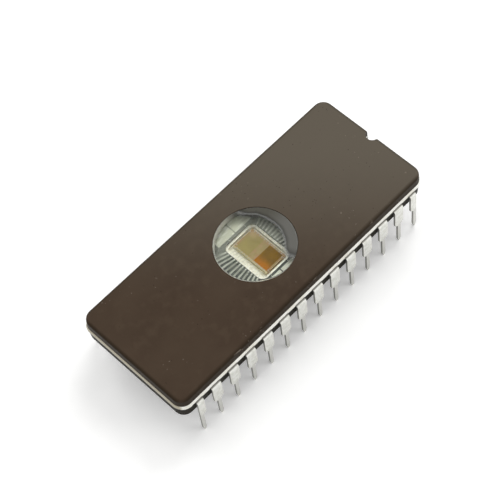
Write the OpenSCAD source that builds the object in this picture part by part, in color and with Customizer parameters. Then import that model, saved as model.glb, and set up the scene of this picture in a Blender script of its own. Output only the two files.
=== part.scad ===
// Windowed ceramic dual-in-line memory chip with 28 leads, standing on the tips of its leads.
// X runs along the package towards the index notch, Y runs across it, and Z runs up from the tips.
// A ceramic base holds the die in a cavity, a glass seal grips the lead frame,
// and a ceramic cap with a round glass window closes the package.

/* [Leads] */
// Distance between neighbouring leads of one row
lead_pitch = 2.54; // [2.5:0.01:2.6]
// Distance between the two rows, taken at the middle of the metal at the bends
row_spacing = 15.5; // [15:0.02:15.6]
// Thickness of the lead frame
lead_t = 0.25; // [0.2:0.01:0.3]
// Width of a lead's shoulder
shoulder_w = 1.3; // [1.2:0.05:1.6]
// Width of a lead's leg
leg_w = 0.46; // [0.4:0.02:0.56]
// Length of the leg below the seating plane
leg_l = 3.2; // [3:0.1:4]
// Height of the slope between the shoulder and the leg
shoulder_slope_h = 0.35; // [0.2:0.05:0.6]
// Width of the leg's cut end
tip_w = 0.22; // [0.16:0.02:0.36]
// Height of the leg's pointed end
tip_h = 0.5; // [0.3:0.05:0.9]
// Inside radius of the bend
bend_r = 0.12; // [0.08:0.01:0.16]
// Outward slant of the legs, in degrees from the vertical
splay = 1.5; // [0:0.5:6]
// Clearance between the seal's edge and a lead's upright part
lead_gap = 0.055; // [0.05:0.005:0.2]

/* [Ceramic] */
// Distance from the last lead's centre to the end of the ceramic
end_overhang = 1.99; // [1.7:0.01:2.45]
// Height of the base's underside above the seating plane
standoff = 1.2; // [0.6:0.1:1.4]
// Thickness of the ceramic base
base_t = 1.65; // [1.2:0.05:2.1]
// Thickness of the ceramic cap
cap_t = 1.15; // [1.1:0.05:1.9]
// Radius of the ceramic's corners, seen from above
corner_r = 1.3; // [0.9:0.1:1.5]
// Slope of the pressed sides, in degrees from the vertical
draft = 4; // [1:0.5:8]
// Radius of the cap's upper edge
cap_edge_r = 0.35; // [0.15:0.05:0.6]
// Radius of the base's lower edge
base_edge_r = 0.2; // [0.1:0.05:0.5]
// Radius of the index notch
notch_r = 0.76; // [0.5:0.02:1]
// Depth of the index notch, from the ceramic's end
notch_depth = 0.86; // [0.8:0.02:1.3]

/* [Seal] */
// Thickness of the seal glass under the lead frame
seal_under = 0.05; // [0.02:0.01:0.15]
// Thickness of the seal glass over the lead frame
seal_over = 0.45; // [0.15:0.05:0.5]
// How far the seal's bead stands out from the ceramic
seal_bead = 0.12; // [0.04:0.01:0.14]
// Room between the window's opening and the edge of the cap's layer of seal glass
seal_back = 0.3; // [0.1:0.05:0.8]
// Width of the base's bare rim between the die cavity and the seal glass
seal_rim = 0.28; // [0.1:0.01:0.3]
// How far the fingers stand out of the glass below the window
finger_proud = 0.04; // [0.02:0.01:0.1]

/* [Window] */
// Diameter of the window at the top
window_d = 9.1; // [7:0.1:10]
// How much the window's seat narrows towards the inside, on the diameter
window_taper = 0.4; // [0.1:0.05:0.8]
// Distance from the window's inner face to the cap's underside
window_lift = 0.15; // [0.05:0.05:0.3]
// Radius of the window's upper edge
window_edge_r = 0.12; // [0.05:0.01:0.3]

/* [Cavity and die] */
// Length of the die cavity, along the package
cavity_l = 4; // [3.8:0.05:4.2]
// Width of the die cavity, across the package
cavity_w = 5.4; // [5.3:0.05:5.6]
// Depth of the die cavity below the base's upper face
cavity_depth = 0.45; // [0.44:0.01:0.7]
// Radius of the cavity's corners
cavity_r = 0.5; // [0.2:0.05:0.8]
// Place of the cavity's centre along the package
cavity_x = 0; // [-0.2:0.05:0.2]
// Place of the cavity's centre across the package
cavity_y = -0.22; // [-0.3:0.01:0.3]
// Length of the die, along the package
die_l = 2.95; // [2.6:0.05:3]
// Width of the die, across the package
die_w = 4.9; // [4.6:0.05:4.95]
// Thickness of the die
die_t = 0.38; // [0.3:0.01:0.5]
// Place of the die along the package, from the cavity's centre
die_dx = 0.24; // [-0.25:0.01:0.25]
// Place of the die across the package, from the cavity's centre
die_dy = -0.02; // [-0.1:0.01:0.1]
// Thickness of the attach layer under the die
attach_t = 0.05; // [0.03:0.01:0.1]
// Clearance between the attach layer and the cavity's walls
attach_gap = 0.06; // [0.03:0.01:0.15]

/* [Fingers] */
// Distance between neighbouring fingers at their inner ends
finger_pitch = 0.42; // [0.4:0.01:0.44]
// Width of a finger at its inner end
finger_w = 0.18; // [0.14:0.01:0.26]
// Width of a finger where the fan ends
fan_w = 0.24; // [0.2:0.01:0.34]
// Distance from the cavity's edge to the fingers' inner ends
finger_setback = 0.35; // [0.32:0.01:0.5]
// Length of the fan, along the package
fan_l = 2.8; // [2.4:0.1:3]
// Turn of the fan for each millimetre across the package, in degrees
fan_turn = 9.3; // [6:0.1:10]
// Width of a finger outside the fan
arm_w = 0.85; // [0.7:0.05:0.95]
// Place across the package of the first finger's elbow
elbow_y = 5.5; // [5.4:0.05:5.7]
// How much nearer the middle each further elbow lies
elbow_step = 0.4; // [0.3:0.01:0.44]
// Width of the two middle leads' broad inner plates
plate_w = 2.4; // [1.8:0.05:2.45]
// Length of those plates, across the package
plate_l = 1.25; // [1:0.05:1.3]
// Gap between the two plates of one row
plate_gap = 0.15; // [0.15:0.05:0.4]
// Distance from the cavity's edge to the plates
plate_setback = 0.6; // [0.4:0.05:0.7]
// Length of the shoulder inside the ceramic
shoulder_in = 0.9; // [0.6:0.05:1.1]

/* [Bond wires] */
// Diameter of a bond wire
wire_d = 0.04; // [0.03:0.005:0.05]
// Height of a wire's loop above the line between its ends
wire_loop = 0.16; // [0.1:0.01:0.2]
// Distance between neighbouring bond pads on the die
pad_pitch = 0.36; // [0.3:0.01:0.38]
// Distance from the die's edge to its row of bond pads
pad_in = 0.14; // [0.1:0.01:0.2]
// Length of the flattened foot at a wire's end
foot_l = 0.12; // [0.08:0.01:0.14]
// Width of the flattened foot
foot_w = 0.06; // [0.05:0.005:0.08]
// Height of the flattened foot
foot_t = 0.03; // [0.02:0.005:0.04]

/* [Hidden] */
leads_per_row = 14;
lead_count = 2 * leads_per_row;
leads_per_quarter = leads_per_row / 2;

// Heights, from the tips up
seat_z = leg_l;
base_z = seat_z + standoff;
seal_z = base_z + base_t;
frame_z = seal_z + seal_under;
frame_top = frame_z + lead_t;
seal_t = seal_under + lead_t + seal_over;
cap_z = seal_z + seal_t;
cap_top = cap_z + cap_t;
cavity_z = seal_z - cavity_depth;
die_z = cavity_z + attach_t;
die_top = die_z + die_t;
window_z = cap_z + window_lift;
window_t = cap_t - window_lift;

// Plan of the ceramic
body_l = (leads_per_row - 1) * lead_pitch + 2 * end_overhang;
body_w = row_spacing - lead_t - 2 * (seal_bead + lead_gap);
die_x = cavity_x + die_dx;
die_y = cavity_y + die_dy;

// The bend of a lead, from its centre of curvature
bend_out_r = bend_r + lead_t;
bend_y = row_spacing / 2 - lead_t / 2 - bend_r;
bend_z = frame_z - bend_r;
shoulder_start = body_w / 2 - shoulder_in;

// Overlap of solids that are joined, and the reach of cuts past a face
join = 0.1;
past = 1;
// Steps round a full turn
round_fn = 96;
fine_fn = 32;

// Name of the group of wires of one quarter of the leads, counted from 0
function wire_node(q) = str("bond_wires_", q * leads_per_quarter + 1, "_to_", (q + 1) * leads_per_quarter);

// Side of the package on which lead i stands: 1 is the row of the first lead
function row_side(i) = i <= leads_per_row ? 1 : -1;
// Place of lead i along the package: the first stands beside the notch, and the count runs round
function lead_x(i) =
    let (from_middle = ((leads_per_row - 1) / 2 - (i - 1) % leads_per_row) * lead_pitch)
    row_side(i) * from_middle;
function end_side(i) = lead_x(i) > 0 ? 1 : -1;
// How many leads of its quarter lie between lead i and the middle of the package
function rank(i) = round((abs(lead_x(i)) - lead_pitch / 2) / lead_pitch);
function is_end_lead(i) = rank(i) == leads_per_quarter - 1;

// Distance of a finger's inner end from the cavity's centre line
function finger_y(rank) = finger_pitch * (leads_per_quarter - 0.5 - rank);
// Distance of a finger's inner end from the cavity's centre, along the package
finger_x = cavity_l / 2 + finger_setback;
plate_y = cavity_w / 2 + plate_setback;

// Middle line of a fan finger: inner end, end of the fan, elbow and shoulder
function fan_line(i) =
    let (
        s = end_side(i),
        r = row_side(i),
        y = finger_y(rank(i)),
        reach = min(fan_l, abs(lead_x(i)) - finger_x)
    )
    [
        [cavity_x + s * finger_x, cavity_y + r * y],
        [cavity_x + s * (finger_x + reach), cavity_y + r * (y + reach * tan(fan_turn * y))],
        [lead_x(i), r * (elbow_y - elbow_step * (rank(i) - 1))],
        [lead_x(i), r * (shoulder_start + join)]
    ];
fan_widths = [finger_w, fan_w, arm_w, arm_w];

// Middle line of a middle lead, which ends in a broad plate beside the cavity
function plate_line(i) =
    let (
        s = end_side(i),
        r = row_side(i),
        x = cavity_x + s * (plate_gap + plate_w) / 2,
        y = cavity_y + r * plate_y
    )
    [
        [x, y],
        [x, y + r * plate_l],
        [lead_x(i), r * elbow_y],
        [lead_x(i), r * (shoulder_start + join)]
    ];
plate_widths = [plate_w, plate_w, arm_w, arm_w];

function is_plate(i) = rank(i) == 0;
function inner_line(i) = is_plate(i) ? plate_line(i) : fan_line(i);
function inner_widths(i) = is_plate(i) ? plate_widths : fan_widths;

// Unit vector from p to q, and the one a quarter turn to its left
function ahead(p, q) = (q - p) / norm(q - p);
function left_of(v) = [-v[1], v[0]];
// Left-hand direction at point k of a line, lengthened so that the strip keeps its width round a corner
function mitre(line, k) =
    let (
        last = len(line) - 1,
        n_in = left_of(ahead(line[max(k - 1, 0)], line[max(k, 1)])),
        n_out = left_of(ahead(line[min(k, last - 1)], line[min(k + 1, last)])),
        mid = (n_in + n_out) / norm(n_in + n_out)
    )
    mid / (mid * n_in);
// Points along one side of a strip: side 1 is the left of its middle line
function strip_side(line, widths, side) =
    [for (k = [0 : len(line) - 1]) line[k] + side * mitre(line, k) * widths[k] / 2];
function backwards(list) = [for (k = [len(list) - 1 : -1 : 0]) list[k]];

// A flat strip of changing width along a middle line
module strip(line, widths) {
    polygon(concat(strip_side(line, widths, 1), backwards(strip_side(line, widths, -1))));
}

// A rectangle with round corners, seen from above
module round_rect(l, w, r) {
    square([l - 2 * r, w], center = true);
    square([l, w - 2 * r], center = true);
    for (sx = [-1, 1], sy = [-1, 1])
        translate([sx * (l / 2 - r), sy * (w / 2 - r)])
            circle(r = r, $fn = round_fn);
}

// A plate of the package's outline whose edge is the child: a half section,
// with x out from the corners' centres and y up from the plate's lower face
module edged_plate(thickness) {
    core_l = body_l - 2 * corner_r;
    core_w = body_w - 2 * corner_r;
    translate([-core_l / 2, -core_w / 2, 0])
        cube([core_l, core_w, thickness]);
    for (sx = [-1, 1], sy = [-1, 1])
        translate([sx * core_l / 2, sy * core_w / 2, 0])
            rotate_extrude($fn = round_fn)
                children();
    for (turn = [0, 180])
        rotate([0, 0, turn]) {
            translate([core_l / 2, 0, 0])
                rotate([90, 0, 0])
                    linear_extrude(core_w, center = true)
                        children();
            translate([0, core_w / 2, 0])
                rotate([90, 0, 90])
                    linear_extrude(core_l, center = true)
                        children();
        }
}

// Edge of a pressed ceramic plate: sloped side, then a round of radius r into the upper face
module ceramic_edge(thickness, r) {
    round_z = thickness - r;
    round_x = corner_r - round_z * tan(draft) - r / cos(draft);
    polygon([
        [0, 0],
        [corner_r, 0],
        [round_x + r * cos(draft), round_z + r * sin(draft)],
        [round_x, round_z],
        [round_x, thickness],
        [0, thickness]
    ]);
    intersection() {
        translate([round_x, round_z])
            circle(r = r, $fn = round_fn);
        translate([round_x, round_z])
            square([r, r]);
    }
}

// Edge of the seal glass: a shallow bead between the two ceramics
module bead_edge() {
    bulge_r = (seal_t * seal_t / 4 + seal_bead * seal_bead) / (2 * seal_bead);
    square([corner_r, seal_t]);
    intersection() {
        translate([corner_r + seal_bead - bulge_r, seal_t / 2])
            circle(r = bulge_r, $fn = 4 * round_fn);
        square([corner_r + seal_bead, seal_t]);
    }
}

// The half-round index notch, cut through from z up over a height h
module notch_cut(z, h) {
    notch_x = body_l / 2 - notch_depth + notch_r;
    translate([notch_x, 0, z])
        cylinder(r = notch_r, h = h, $fn = round_fn);
    translate([notch_x, -notch_r, z])
        cube([notch_depth + past, 2 * notch_r, h]);
}

// The cavity's outline, drawn in by a gap, or widened by a gap below zero
module cavity_plan(gap = 0) {
    translate([cavity_x, cavity_y])
        round_rect(cavity_l - 2 * gap, cavity_w - 2 * gap, cavity_r - gap);
}

// Shoulder of lead i, seen from above, from inside the seal out to y_end.
// The last lead of a row has only the inner half of its shoulder.
module shoulder_plan(i, y_end) {
    outer = is_end_lead(i) ? leg_w / 2 : shoulder_w / 2;
    near_x = lead_x(i) - end_side(i) * shoulder_w / 2;
    far_x = lead_x(i) + end_side(i) * outer;
    y_start = shoulder_start;
    translate([min(near_x, far_x), row_side(i) > 0 ? y_start : -y_end])
        square([abs(far_x - near_x), y_end - y_start]);
}

// Flat part of lead i, seen from above, out to y_end
module lead_plan(i, y_end) {
    strip(inner_line(i), inner_widths(i));
    shoulder_plan(i, y_end);
}

// Outline of lead i's upright part, seen along Y: shoulder, slope, leg and point
module upright_outline(i) {
    s = end_side(i);
    inner = -s * shoulder_w / 2;
    outer = s * (is_end_lead(i) ? leg_w : shoulder_w) / 2;
    slope_z = seat_z + shoulder_slope_h;
    translate([lead_x(i), 0])
        polygon([
            [inner, frame_top + past],
            [inner, slope_z],
            [-s * leg_w / 2, seat_z],
            [-s * leg_w / 2, tip_h],
            [-s * tip_w / 2, 0],
            [s * tip_w / 2, 0],
            [s * leg_w / 2, tip_h],
            [s * leg_w / 2, seat_z],
            [outer, slope_z],
            [outer, frame_top + past]
        ]);
}

// Side view of a lead's bend and leg, with y outwards and the leg longer than it needs to be
module bend_section() {
    far = 2 * bend_out_r;
    leg_reach = bend_z + past;
    intersection() {
        translate([bend_y, bend_z])
            difference() {
                circle(r = bend_out_r, $fn = round_fn);
                circle(r = bend_r, $fn = round_fn);
            }
        translate([bend_y, bend_z])
            polygon([[0, 0], far * [cos(splay), sin(splay)], [far, far], [0, far]]);
    }
    translate([bend_y, bend_z])
        rotate(splay)
            translate([bend_r, -leg_reach])
                square([lead_t, leg_reach]);
}

// Lead i: inner finger, shoulder, bend and leg
module lead(i) {
    upright_l = 2 * row_spacing;
    color("silver") {
        translate([0, 0, frame_z])
            linear_extrude(lead_t)
                lead_plan(i, bend_y);
        mirror([0, row_side(i) > 0 ? 0 : 1, 0])
            intersection() {
                translate([lead_x(i), 0, 0])
                    rotate([90, 0, 90])
                        linear_extrude(2 * shoulder_w, center = true)
                            bend_section();
                rotate([90, 0, 0])
                    linear_extrude(upright_l, center = true)
                        upright_outline(i);
            }
    }
}

// One bond wire between two points, each on the surface it is bonded to
module bond_wire(from, to) {
    rise = to[2] - from[2];
    flat = norm([to[0] - from[0], to[1] - from[1]]);
    chord = norm([flat, rise]);
    loop_r = (chord * chord / 4 + wire_loop * wire_loop) / (2 * wire_loop);
    half_angle = asin(chord / 2 / loop_r);
    up_angle = atan2(flat, -rise);
    heading = atan2(to[1] - from[1], to[0] - from[0]);
    middle = (from + to) / 2 + [0, 0, wire_d / 2];
    drop = loop_r - wire_loop;
    translate(middle)
        rotate([0, 0, heading])
            rotate([90, 0, 0])
                translate(-drop * [cos(up_angle), sin(up_angle), 0])
                    rotate([0, 0, up_angle - half_angle])
                        rotate_extrude(angle = 2 * half_angle, $fn = 2 * round_fn)
                            translate([loop_r, 0])
                                circle(d = wire_d, $fn = fine_fn);
    for (end = [from, to])
        translate(end)
            rotate([0, 0, heading])
                translate([-foot_l / 2, -foot_w / 2, 0])
                    cube([foot_l, foot_w, foot_t]);
}

// Where lead i's wire meets the die, and where it meets the lead
function wire_pad(i) =
    let (s = end_side(i), r = row_side(i))
    is_plate(i)
        ? [die_x + s * (die_l / 2 - 3 * pad_in), die_y + r * (die_w / 2 - pad_in), die_top]
        : [die_x + s * (die_l / 2 - pad_in), die_y + r * finger_y(rank(i)) * pad_pitch / finger_pitch, die_top];
function wire_landing(i) =
    let (line = inner_line(i), p = line[0] + ahead(line[0], line[1]) * foot_l)
    [p[0], p[1], frame_top];

module base() {
    color([0.24, 0.2, 0.17])
        difference() {
            translate([0, 0, seal_z])
                mirror([0, 0, 1])
                    edged_plate(base_t)
                        ceramic_edge(base_t, base_edge_r);
            translate([0, 0, cavity_z])
                linear_extrude(cavity_depth + past)
                    cavity_plan();
            notch_cut(base_z - past, base_t + 2 * past);
        }
}

module seal_glass() {
    window_plan_d = window_d + 2 * seal_back;
    under_window_z = frame_top - finger_proud;
    color([0.85, 0.84, 0.78])
        difference() {
            translate([0, 0, seal_z])
                edged_plate(seal_t)
                    bead_edge();
            translate([0, 0, seal_z - past])
                linear_extrude(seal_t + 2 * past)
                    cavity_plan(-seal_rim);
            translate([0, 0, under_window_z])
                cylinder(d = window_plan_d, h = seal_t, $fn = round_fn);
            translate([0, 0, frame_z])
                linear_extrude(lead_t)
                    for (i = [1 : lead_count])
                        lead_plan(i, body_w / 2 + past);
            notch_cut(seal_z - past, seal_t + 2 * past);
        }
}

module cap() {
    color([0.32, 0.27, 0.23])
        difference() {
            translate([0, 0, cap_z])
                edged_plate(cap_t)
                    ceramic_edge(cap_t, cap_edge_r);
            translate([0, 0, window_z])
                cylinder(d1 = window_d - window_taper, d2 = window_d, h = window_t, $fn = round_fn);
            translate([0, 0, cap_z - past])
                cylinder(d = window_d - window_taper, h = past + window_lift, $fn = round_fn);
            notch_cut(cap_z - past, cap_t + 2 * past);
        }
}

module window() {
    top_r = window_d / 2;
    foot_r = top_r - window_taper / 2;
    straight_t = window_t - window_edge_r;
    edge_r = foot_r + (top_r - foot_r) * straight_t / window_t;
    color([0.55, 0.58, 0.56, 0.5])
        translate([0, 0, window_z]) {
            cylinder(r1 = foot_r, r2 = edge_r, h = straight_t, $fn = round_fn);
            translate([0, 0, straight_t])
                rotate_extrude($fn = round_fn) {
                    square([edge_r - window_edge_r, window_edge_r]);
                    intersection() {
                        translate([edge_r - window_edge_r, 0])
                            circle(r = window_edge_r, $fn = round_fn);
                        square([edge_r, window_edge_r]);
                    }
                }
        }
}

module die_attach() {
    color([0.86, 0.84, 0.76])
        translate([0, 0, cavity_z])
            linear_extrude(attach_t)
                cavity_plan(attach_gap);
}

module die() {
    color([0.5, 0.43, 0.22])
        translate([die_x - die_l / 2, die_y - die_w / 2, die_z])
            cube([die_l, die_w, die_t]);
}

// The wires of one quarter of the leads
module bond_wires(q) {
    color("gainsboro")
        for (i = [q * leads_per_quarter + 1 : (q + 1) * leads_per_quarter])
            bond_wire(wire_pad(i), wire_landing(i));
}

base();
seal_glass();
cap();
window();
die_attach();
die();
for (i = [1 : lead_count])
    lead(i);
for (q = [0 : 3])
    bond_wires(q);
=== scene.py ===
"""Looks of the windowed memory chip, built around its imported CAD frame.

Lengths in the dataclasses are millimetres, in the axes of the frame: X along the package
towards the index notch, Y across it, and Z up from the tips of the leads.
"""

from __future__ import annotations

import logging
import math
from dataclasses import dataclass, field
from enum import Enum
from typing import Sequence

import bpy
from mathutils import Matrix, Vector


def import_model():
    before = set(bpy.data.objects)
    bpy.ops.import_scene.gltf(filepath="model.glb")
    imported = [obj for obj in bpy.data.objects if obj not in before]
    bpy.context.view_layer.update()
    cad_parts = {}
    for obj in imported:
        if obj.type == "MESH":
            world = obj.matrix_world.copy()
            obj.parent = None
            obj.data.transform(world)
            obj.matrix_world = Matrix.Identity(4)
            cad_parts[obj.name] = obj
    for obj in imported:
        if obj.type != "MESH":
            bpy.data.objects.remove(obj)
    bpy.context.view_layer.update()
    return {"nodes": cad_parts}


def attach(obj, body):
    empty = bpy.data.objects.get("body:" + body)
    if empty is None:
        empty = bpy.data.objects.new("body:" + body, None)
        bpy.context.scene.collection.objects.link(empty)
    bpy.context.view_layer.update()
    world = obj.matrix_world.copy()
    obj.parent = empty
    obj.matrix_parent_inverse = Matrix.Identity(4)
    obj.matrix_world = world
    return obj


LOG = logging.getLogger("memory_chip")

MM = 0.001
PER_MM = 1.0 / MM
BODY = "root"

Triple = tuple[float, float, float]
Colour = Triple
Socket = bpy.types.NodeSocket
Material = bpy.types.Material
Nodes = dict[str, bpy.types.Object]

EVEN: Triple = (1.0, 1.0, 1.0)
WHITE: Colour = (1.0, 1.0, 1.0)


def tone(red: int, green: int, blue: int) -> Colour:
    """Linear colour of a tone that is written as a screen shows it.

    Args:
        red: Red, from 0 to 255.
        green: Green, from 0 to 255.
        blue: Blue, from 0 to 255.

    Returns:
        The linear red, green and blue.
    """

    def linear(level: int) -> float:
        """One channel's linear value."""
        share = level / 255.0
        if share <= 0.04045:
            return share / 12.92
        return ((share + 0.055) / 1.055) ** 2.4

    return linear(red), linear(green), linear(blue)


def opaque(colour: Colour) -> tuple[float, float, float, float]:
    """The colour with full cover, as a shader's colour socket takes it."""
    return (*colour, 1.0)


def background_rays(tree: bpy.types.NodeTree) -> Socket:
    """Adds a mask of the rays that see the background: from the camera, and by metal and glass.

    Args:
        tree: Node tree of a material or of the world.

    Returns:
        1 for such a ray and 0 for any other.
    """
    path = tree.nodes.new("ShaderNodeLightPath")
    seen = path.outputs["Is Camera Ray"]
    for ray in ("Is Glossy Ray", "Is Transmission Ray"):
        either = tree.nodes.new("ShaderNodeMath")
        either.operation = "MAXIMUM"
        tree.links.new(seen, either.inputs[0])
        tree.links.new(path.outputs[ray], either.inputs[1])
        seen = either.outputs[0]
    return seen


class Axis(Enum):
    """Axes of the frame, by their output on a Separate XYZ node."""

    X = "X"
    Y = "Y"
    Z = "Z"


class NodeGraph:
    """Node tree of one new material, with short calls for the nodes that the finishes use."""

    def __init__(self, name: str) -> None:
        """Starts a material whose place input is the frame's own millimetres.

        Args:
            name: Name of the material.
        """
        self.material = bpy.data.materials.new(name)
        self.material.use_nodes = True
        self.tree = self.material.node_tree
        self.shader = self.tree.nodes["Principled BSDF"]
        coords = self.add("ShaderNodeTexCoord")
        scale = self.add("ShaderNodeVectorMath", operation="SCALE")
        self.tree.links.new(coords.outputs["Object"], scale.inputs[0])
        scale.inputs["Scale"].default_value = PER_MM
        self.place = scale.outputs[0]
        self.axes = self.add("ShaderNodeSeparateXYZ")
        self.tree.links.new(self.place, self.axes.inputs[0])

    def add(self, kind: str, **settings: object) -> bpy.types.Node:
        """Adds a node.

        Args:
            kind: Blender's name of the node's type.
            settings: Properties to set on it.

        Returns:
            The new node.
        """
        node = self.tree.nodes.new(kind)
        for key, value in settings.items():
            setattr(node, key, value)
        return node

    def feed(self, target: Socket, value: Socket | float | Colour) -> None:
        """Links a socket to the target, or sets the target to a number or colour.

        Args:
            target: The input that is fed.
            value: An output of another node, a number or a colour.
        """
        if isinstance(value, bpy.types.NodeSocket):
            self.tree.links.new(value, target)
        elif isinstance(value, tuple):
            target.default_value = opaque(value)
        else:
            target.default_value = value

    def axis(self, axis: Axis) -> Socket:
        """The place along one axis, in millimetres."""
        return self.axes.outputs[axis.value]

    def math(self, operation: str, first: Socket | float, second: Socket | float = 0.0) -> Socket:
        """Adds a Math node.

        Args:
            operation: Blender's name of the operation.
            first: First value.
            second: Second value, where the operation has one.

        Returns:
            The result.
        """
        node = self.add("ShaderNodeMath", operation=operation)
        self.feed(node.inputs[0], first)
        self.feed(node.inputs[1], second)
        return node.outputs[0]

    def noise(self, size: float, detail: float, stretch: Triple = EVEN) -> Socket:
        """Soft noise.

        Args:
            size: Size of its larger features, in millimetres.
            detail: Number of finer octaves.
            stretch: How many times longer the features are along each axis.

        Returns:
            A value about 0.5, mostly within 0.3 and 0.7.
        """
        mapping = self.add("ShaderNodeMapping")
        self.feed(mapping.inputs["Vector"], self.place)
        mapping.inputs["Scale"].default_value = tuple(1.0 / (size * part) for part in stretch)
        node = self.add("ShaderNodeTexNoise")
        self.feed(node.inputs["Vector"], mapping.outputs[0])
        node.inputs["Scale"].default_value = 1.0
        node.inputs["Detail"].default_value = detail
        return node.outputs["Fac"]

    def cells(self, size: float) -> Socket:
        """Distance to the nearest of points strewn about a size apart, as a share of that size."""
        node = self.add("ShaderNodeTexVoronoi")
        self.feed(node.inputs["Vector"], self.place)
        node.inputs["Scale"].default_value = 1.0 / size
        return node.outputs["Distance"]

    def step(self, value: Socket, start: float, end: float) -> Socket:
        """Soft step from 0 at start to 1 at end, where start may be the larger one.

        Args:
            value: The value that is tested.
            start: Where the step is 0.
            end: Where the step is 1.

        Returns:
            The step's height, from 0 to 1.
        """
        node = self.add("ShaderNodeMapRange", interpolation_type="SMOOTHSTEP")
        self.feed(node.inputs["Value"], value)
        node.inputs["From Min"].default_value = start
        node.inputs["From Max"].default_value = end
        return node.outputs["Result"]

    def mix(self, share: Socket | float, base: Socket | Colour, over: Socket | Colour) -> Socket:
        """Mixes two colours.

        Args:
            share: Share of the second colour.
            base: First colour.
            over: Second colour.

        Returns:
            The mixed colour.
        """
        node = self.add("ShaderNodeMixRGB")
        self.feed(node.inputs["Fac"], share)
        self.feed(node.inputs["Color1"], base)
        self.feed(node.inputs["Color2"], over)
        return node.outputs["Color"]

    def span(self, value: Socket, low: float, high: float) -> Socket:
        """Stretches a value of 0 to 1 to run from low to high."""
        node = self.add("ShaderNodeMapRange")
        self.feed(node.inputs["Value"], value)
        node.inputs["To Min"].default_value = low
        node.inputs["To Max"].default_value = high
        return node.outputs["Result"]

    def both(self, first: Socket | float, second: Socket | float) -> Socket:
        """Where both of two masks are set."""
        return self.math("MULTIPLY", first, second)

    def either(self, first: Socket | float, second: Socket | float) -> Socket:
        """Where at least one of two masks is set."""
        return self.math("MAXIMUM", first, second)

    def away(self, x: float = 0.0, y: float = 0.0, across: float = 1.0) -> Socket:
        """Distance from an upright line.

        Args:
            x: The line's place along X, in millimetres.
            y: The line's place along Y, in millimetres.
            across: Weight of the distance along Y.

        Returns:
            The distance, in millimetres.
        """
        beside = self.math("SUBTRACT", self.axis(Axis.X), x)
        behind = self.both(self.math("SUBTRACT", self.axis(Axis.Y), y), across)
        return self.math("SQRT", self.math("ADD", self.both(beside, beside), self.both(behind, behind)))

    def faces_along(self, axis: Axis) -> Socket:
        """How squarely the surface faces along an axis, either way, from 0 to 1."""
        coords = self.add("ShaderNodeTexCoord")
        parts = self.add("ShaderNodeSeparateXYZ")
        self.tree.links.new(coords.outputs["Normal"], parts.inputs[0])
        return self.math("ABSOLUTE", parts.outputs[axis.value])

    def bump(self, height: Socket, depth: float) -> None:
        """Adds relief to the surface, over any that it has.

        Args:
            height: Height, from 0 to 1.
            depth: Depth of the relief in millimetres, from height 0 to height 1.
        """
        node = self.add("ShaderNodeBump")
        self.feed(node.inputs["Height"], height)
        node.inputs["Distance"].default_value = depth * MM
        target = self.shader.inputs["Normal"]
        if target.is_linked:
            self.feed(node.inputs["Normal"], target.links[0].from_socket)
        self.feed(target, node.outputs["Normal"])

    def surface(self, **inputs: Socket | float | Colour) -> Material:
        """Feeds the shader and hands out the material.

        Args:
            inputs: Values of the shader's inputs, by their names in lower case with _ for a space.

        Returns:
            The finished material.
        """
        by_name = {socket.name.lower().replace(" ", "_"): socket for socket in self.shader.inputs}
        for name, value in inputs.items():
            self.feed(by_name[name], value)
        return self.material


@dataclass(frozen=True)
class Pattern:
    """Patches of soft noise, with the values of the noise between which they set in."""

    size: float
    detail: float
    start: float
    end: float
    stretch: Triple = EVEN

    def mask(self, graph: NodeGraph) -> Socket:
        """Mask of the patches."""
        return graph.step(graph.noise(self.size, self.detail, self.stretch), self.start, self.end)


@dataclass(frozen=True)
class Sway:
    """A value that wanders with soft noise, from low at noise 0 to high at noise 1."""

    size: float
    detail: float
    low: float
    high: float

    def value(self, graph: NodeGraph) -> Socket:
        """The wandering value."""
        return graph.span(graph.noise(self.size, self.detail), self.low, self.high)


@dataclass(frozen=True)
class Relief:
    """Fine relief from soft noise, with its depth in millimetres."""

    size: float
    detail: float
    depth: float
    stretch: Triple = EVEN

    def press(self, graph: NodeGraph) -> None:
        """Adds the relief to the surface."""
        graph.bump(graph.noise(self.size, self.detail, self.stretch), self.depth)


@dataclass(frozen=True)
class Fade:
    """A soft change along one axis, from 0 at start to 1 at end."""

    axis: Axis
    start: float
    end: float

    def mask(self, graph: NodeGraph) -> Socket:
        """Mask of the places beyond the change."""
        return graph.step(graph.axis(self.axis), self.start, self.end)


@dataclass(frozen=True)
class Band:
    """A stretch along one axis between two limits, with soft edges outside them."""

    axis: Axis
    low: float
    high: float
    soft: float

    def mask(self, graph: NodeGraph) -> Socket:
        """Mask of the places within the stretch."""
        rise = Fade(self.axis, self.low - self.soft, self.low)
        fall = Fade(self.axis, self.high + self.soft, self.high)
        return graph.both(rise.mask(graph), fall.mask(graph))


@dataclass(frozen=True)
class Package:
    """Sizes and places of the CAD model that the finishes follow."""

    half_l: float = 18.5
    half_w: float = 7.445
    top: float = 7.95
    seal_line: float = 6.05
    window_r: float = 4.55
    window_low: float = 6.95
    seal_floor_r: float = 5.2
    lead_top: float = 6.35
    lead_pitch: float = 2.54
    shoulder_w: float = 1.3
    seat: float = 3.2
    cavity_x: float = 0.0
    cavity_y: float = -0.22
    cavity_l: float = 4.0
    cavity_w: float = 5.4
    cavity_floor: float = 5.6


CHIP = Package()


@dataclass(frozen=True)
class FusedJoint:
    """The joint of cap and window, which both wear: pale on one side, and shaded on the other."""

    pale: Colour = tone(232, 231, 217)
    shaded: Colour = tone(86, 85, 78)
    turn: Fade = Fade(Axis.X, -0.6, 1.8)

    def colour(self, graph: NodeGraph) -> Socket:
        """The joint's colour."""
        return graph.mix(self.turn.mask(graph), self.pale, self.shaded)


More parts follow.
